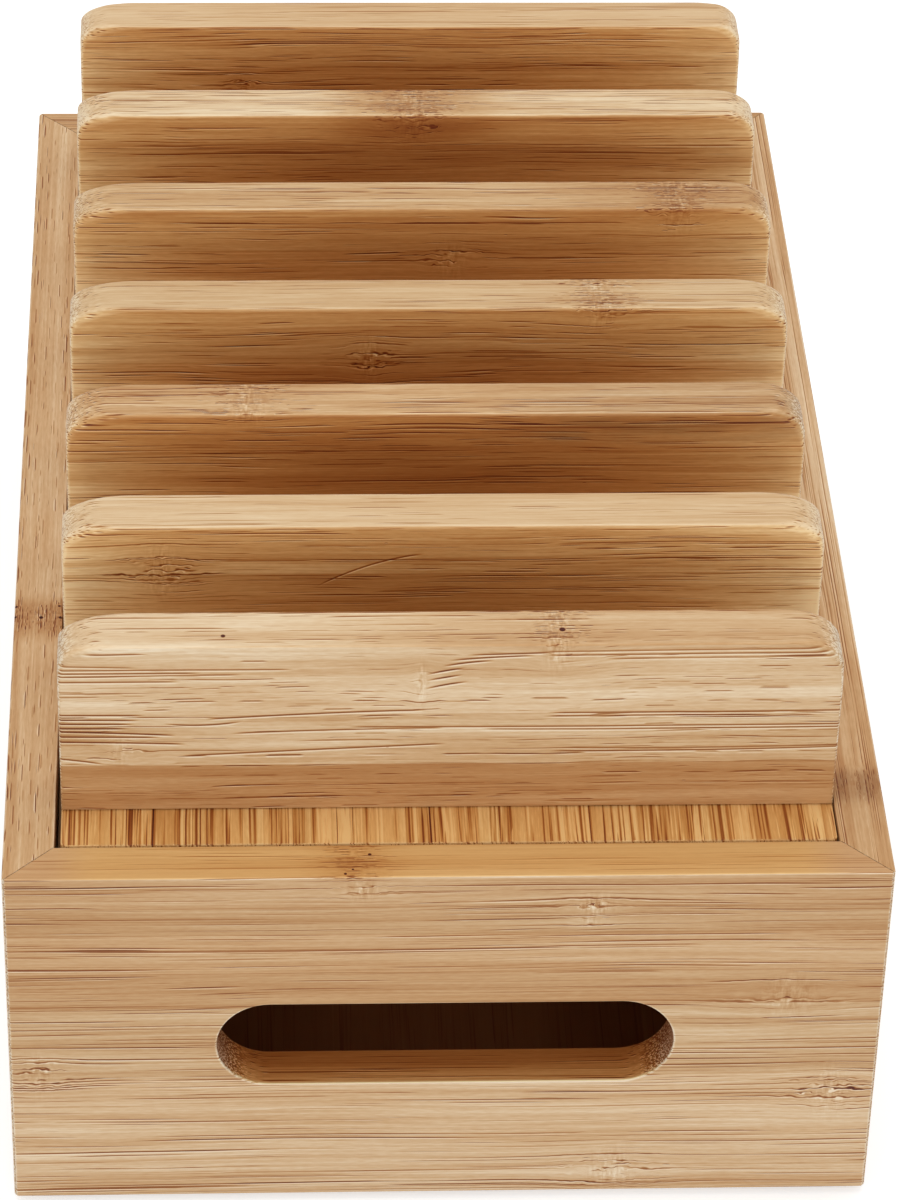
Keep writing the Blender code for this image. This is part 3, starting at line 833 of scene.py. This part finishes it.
# Each board's corners, left then right, each (across, down), its coats of painted shade and its wood
DIVIDERS = (
    (
        ((0.0095, 0.0055), (0.0085, 0.0070)),
        0.0,
        {
            "bundles": ((0.65, 9.0, 0.2, 0.5, 0.95), (1.1, 28.0, 0.25, 0.45, 1.1)),
            "coats": 0.12,
            "streaks": 0.4,
            "calm": 0.2,
            "cells_shown": 0.5,
            "wear_and_highlight": -0.06,
            "tint": (0.90, 0.95, 1.05),
            "caps": (((1.12, 1.06, 0.98), WHOLE_LENGTH),),
            "steps": ((0.0, 0.53), (97.5, -0.35), (110.0, -0.06)),
            "marks": (
                (21.0, 127.5, 7.0, 5.5, 0.05, 0.6, 0.8),
                (-5.4, 118.0, 2.6, 4.5, -0.05, 0.6, 0.0),
                (-64.4, 101.5, 6.0, 3.5, 0.0, 0.3, 0.5),
            ),
            "patches": (
                (60.0, 128.0, 60.0, 4.0, 0.13, 0.0),
                (-50.0, 129.0, 45.0, 3.0, -0.16, 0.0),
                (-79.0, 105.8, 14.0, 3.4, 0.32, 0.0),
                (-10.0, 121.8, 60.0, 3.0, 0.1, 0.0),
            ),
            "holes": ((-44.1, 126.8, -116.5, 0.45), (22.0, 126.8, -115.1, 0.6)),
            "strokes": FIRST_STROKES,
        },
    ),
    (
        ((0.0090, 0.0052), (0.0085, 0.0055)),
        0.31,
        {
            "coats": 0.18,
            "calm": 0.5,
            "steps": ((0.0, 0.2), (101.0, -0.1), (115.0, -0.1)),
            "marks": ((-56.5, 116.3, 9.0, 5.5, 0.1, 0.5, 0.45),),
            "patches": ((20.0, 128.0, 70.0, 3.0, 0.07, 0.0),),
            "strokes": ((-25.5, -3.0, 111.7, 0.62, -0.0112, 1.0),),
        },
    ),
    (
        ((0.0095, 0.0060), (0.0075, 0.0065)),
        0.45,
        {
            "coats": 0.16,
            "steps": ((0.0, 0.25), (103.0, -0.05), (117.0, 0.0)),
            "marks": ((-38.8, 128.5, 9.0, 3.5, 0.05, 0.6, 1.0),),
            "patches": (
                (48.0, 123.0, 32.0, 3.6, 0.25, 1.0),
                # The second patch, low across the board's middle, is painted shade
                (20.0, 100.0, 80.0, 6.0, 0.26, 0.0),
                (0.0, 128.0, 90.0, 3.0, 0.07, 0.0),
            ),
        },
    ),
    (
        ((0.0095, 0.0050), (0.0085, 0.0057)),
        0.40,
        {
            "coats": 0.20,
            "calm": 0.4,
            "steps": ((0.0, 0.2), (100.0, -0.05), (113.0, -0.1)),
            "marks": (
                (-12.3, 113.7, 6.0, 5.0, 0.03, 0.6, 0.4),
                (37.0, 126.5, 8.0, 4.5, 0.12, 0.5, 1.0),
            ),
            "patches": ((-10.0, 128.0, 60.0, 3.0, 0.08, 0.0),),
        },
    ),
    (
        ((0.0095, 0.0048), (0.0075, 0.0055)),
        0.34,
        {
            "coats": 0.15,
            "calm": 0.1,
            "steps": ((0.0, 0.25), (102.0, -0.05), (116.0, 0.0)),
            "marks": (
                (56.5, 126.5, 10.0, 5.0, 0.15, 0.5, 1.0),
                (6.5, 113.5, 9.0, 4.0, 0.03, 0.5, 0.5),
            ),
            "patches": ((70.0, 128.0, 45.0, 4.0, 0.2, 0.0),),
        },
    ),
    (
        ((0.0090, 0.0045), (0.0072, 0.0055)),
        0.59,
        {
            "coats": 0.08,
            "calm": 0.2,
            "steps": ((0.0, 0.2), (104.0, -0.05), (118.0, -0.1)),
            "marks": ((-0.3, 125.5, 12.0, 5.0, 0.15, 0.5, 1.0),),
            "patches": ((0.0, 124.0, 18.0, 4.5, 0.32, 0.0),),
        },
    ),
    (
        ((0.0078, 0.0045), (0.0055, 0.0052)),
        0.42,
        {
            "coats": 0.14,
            "calm": 0.6,
            "steps": ((0.0, 0.2), (101.0, -0.05), (114.0, -0.1)),
            "marks": ((-38.2, 111.0, 5.0, 3.0, 0.2, 0.4, 0.2),),
            "patches": ((20.0, 128.0, 80.0, 3.0, 0.07, 0.0),),
        },
    ),
)
for number, (corners, shade_coats, look) in enumerate(DIVIDERS, 1):
    name = f"divider_{number}"
    low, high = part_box(name)
    board = divider_shape(f"board_{number}", low, high, corners)
    shade = (shade_coats, high[2] * MM) if shade_coats else None
    wood = {**DIVIDER_WOOD, **look}
    finish = bamboo(name + "_bamboo", "X", DIVIDER_SEED + SEED_STEP * number, shade=shade, **wood)
    board.data.materials.append(finish.material)
    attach(board, "lid")
    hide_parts(name)

# Divider screws
# Zinc-plated countersunk wood screws with a cross recess, driven up through the lid.
# Each divider has two of them, from one batch.
def plated_steel(name, seed):
    """Zinc plate over steel: faint turning lines, a yellowish bloom and dull spots."""
    finish = Finish(name)
    x, y, z = finish.place()
    point = finish.point(x, y, z)
    bloom = finish.noise(point, (1.6, 1.6, 1.6), (seed, 0, 0), 2.0)
    turned = finish.noise(point, (3.0, 3.0, 0.12), (0, seed, 0))
    colour = finish.mix(bloom.ramp(0.35, 0.7), rgb(196, 192, 184), rgb(176, 164, 132))
    finish.give("Base Color", colour)
    finish.give("Metallic", 1.0)
    finish.give("Roughness", 0.24 + bloom * 0.22 + turned * 0.08)
    finish.bump(turned, 0.25, 0.00005)
    return finish


for number in range(1, len(DIVIDERS) + 1):
    steel = plated_steel(f"divider_screw_{number}_steel", number * 3.0)
    for letter in "ab":
        dress(f"divider_screw_{number}{letter}", steel)

# Studio
# A white table, two broad soft lamps and an even white surround. The camera stands in
# front and above, close to the middle of the object, as the photograph was taken.
FLOOR_HALF = 6.0
FLOOR_GREY = 0.80
FLOOR_GLOW = 0.55
SURROUND = 0.61
LAMPS_TARGET = (0.0, 0.0, 0.08)
CAMERA_PLACE = (-0.043793, -0.869126, 0.707231)
CAMERA_RIGHT = (0.99892301, -0.04039263, 0.022831)
CAMERA_DOWN = (-0.00625753, -0.60484953, -0.79631519)
CAMERA_AHEAD = (0.04597459, 0.7953147, -0.60445088)
FOCUS_IN_PIXELS = 4892.64
PHOTO_HEIGHT = 1200
SENSOR = 24.0


def seen(finish):
    """1 for rays from the camera or off gloss and glass, which see the backdrop as white."""
    rays = [
        finish.node("ShaderNodeLightPath", {}, {}, ray)
        for ray in ("Is Camera Ray", "Is Glossy Ray", "Is Transmission Ray")
    ]
    return largest(rays)


def table_top():
    """A wide pale floor that keeps the object's shadow and glows up to white where it is seen."""
    mesh = bpy.data.meshes.new("table_top")
    side = FLOOR_HALF
    corners = [(-side, -side, 0), (side, -side, 0), (side, side, 0), (-side, side, 0)]
    mesh.from_pydata(corners, [], [(0, 1, 2, 3)])
    floor = bpy.data.objects.new("table_top", mesh)
    bpy.context.scene.collection.objects.link(floor)
    finish = Finish("table_top_white")
    finish.give("Base Color", (FLOOR_GREY, FLOOR_GREY, FLOOR_GREY, 1.0))
    finish.give("Roughness", 0.9)
    finish.give("Specular IOR Level", 0.1)
    plain = Wire(finish, finish.shader.outputs[0])
    glow = finish.node("ShaderNodeEmission", {}, {"Strength": FLOOR_GLOW})
    both = finish.node("ShaderNodeAddShader", {}, {0: plain, 1: glow})
    shown = finish.node("ShaderNodeMixShader", {}, {0: seen(finish), 1: plain, 2: both})
    finish.feed(finish.tree.nodes["Material Output"].inputs["Surface"], shown)
    mesh.materials.append(finish.material)


def soft_lamp(name, place, size, power):
    """A square lamp turned towards the middle of the object."""
    data = bpy.data.lights.new(name, "AREA")
    data.shape = "SQUARE"
    data.size = size
    data.energy = power
    lamp = bpy.data.objects.new(name, data)
    lamp.location = place
    beam = Vector(LAMPS_TARGET) - Vector(place)
    lamp.rotation_euler = beam.to_track_quat("-Z", "Y").to_euler()
    bpy.context.scene.collection.objects.link(lamp)


def surround():
    """An even white world, which the camera sees as pure white and the object more dimly."""
    world = bpy.data.worlds.new("surround")
    world.use_nodes = True
    bpy.context.scene.world = world
    tree = world.node_tree
    path = tree.nodes.new("ShaderNodeLightPath")
    background = tree.nodes["Background"]
    background.inputs["Color"].default_value = (1, 1, 1, 1)
    strength = tree.nodes.new("ShaderNodeMapRange")
    strength.inputs["To Min"].default_value = SURROUND
    strength.inputs["To Max"].default_value = 1.0
    tree.links.new(path.outputs["Is Camera Ray"], strength.inputs["Value"])
    tree.links.new(strength.outputs[0], background.inputs["Strength"])


def camera():
    """The viewpoint, from its place and the ways that right, down and ahead are in its picture."""
    data = bpy.data.cameras.new("camera")
    data.sensor_fit = "VERTICAL"
    data.sensor_height = SENSOR
    data.lens = FOCUS_IN_PIXELS / PHOTO_HEIGHT * SENSOR
    obj = bpy.data.objects.new("camera", data)
    bpy.context.scene.collection.objects.link(obj)
    camera_up = [-value for value in CAMERA_DOWN]
    camera_back = [-value for value in CAMERA_AHEAD]
    turn = Matrix((CAMERA_RIGHT, camera_up, camera_back)).transposed()
    obj.matrix_world = Matrix.Translation(CAMERA_PLACE) @ turn.to_4x4()
    bpy.context.scene.camera = obj


table_top()
surround()
soft_lamp("top_lamp", place=(0.0, 0.3, 1.5), size=1.2, power=5.2)
soft_lamp("front_lamp", place=(0.0, -2.0, 0.45), size=0.8, power=10.3)
camera()
bpy.context.scene.view_settings.view_transform = "Standard"
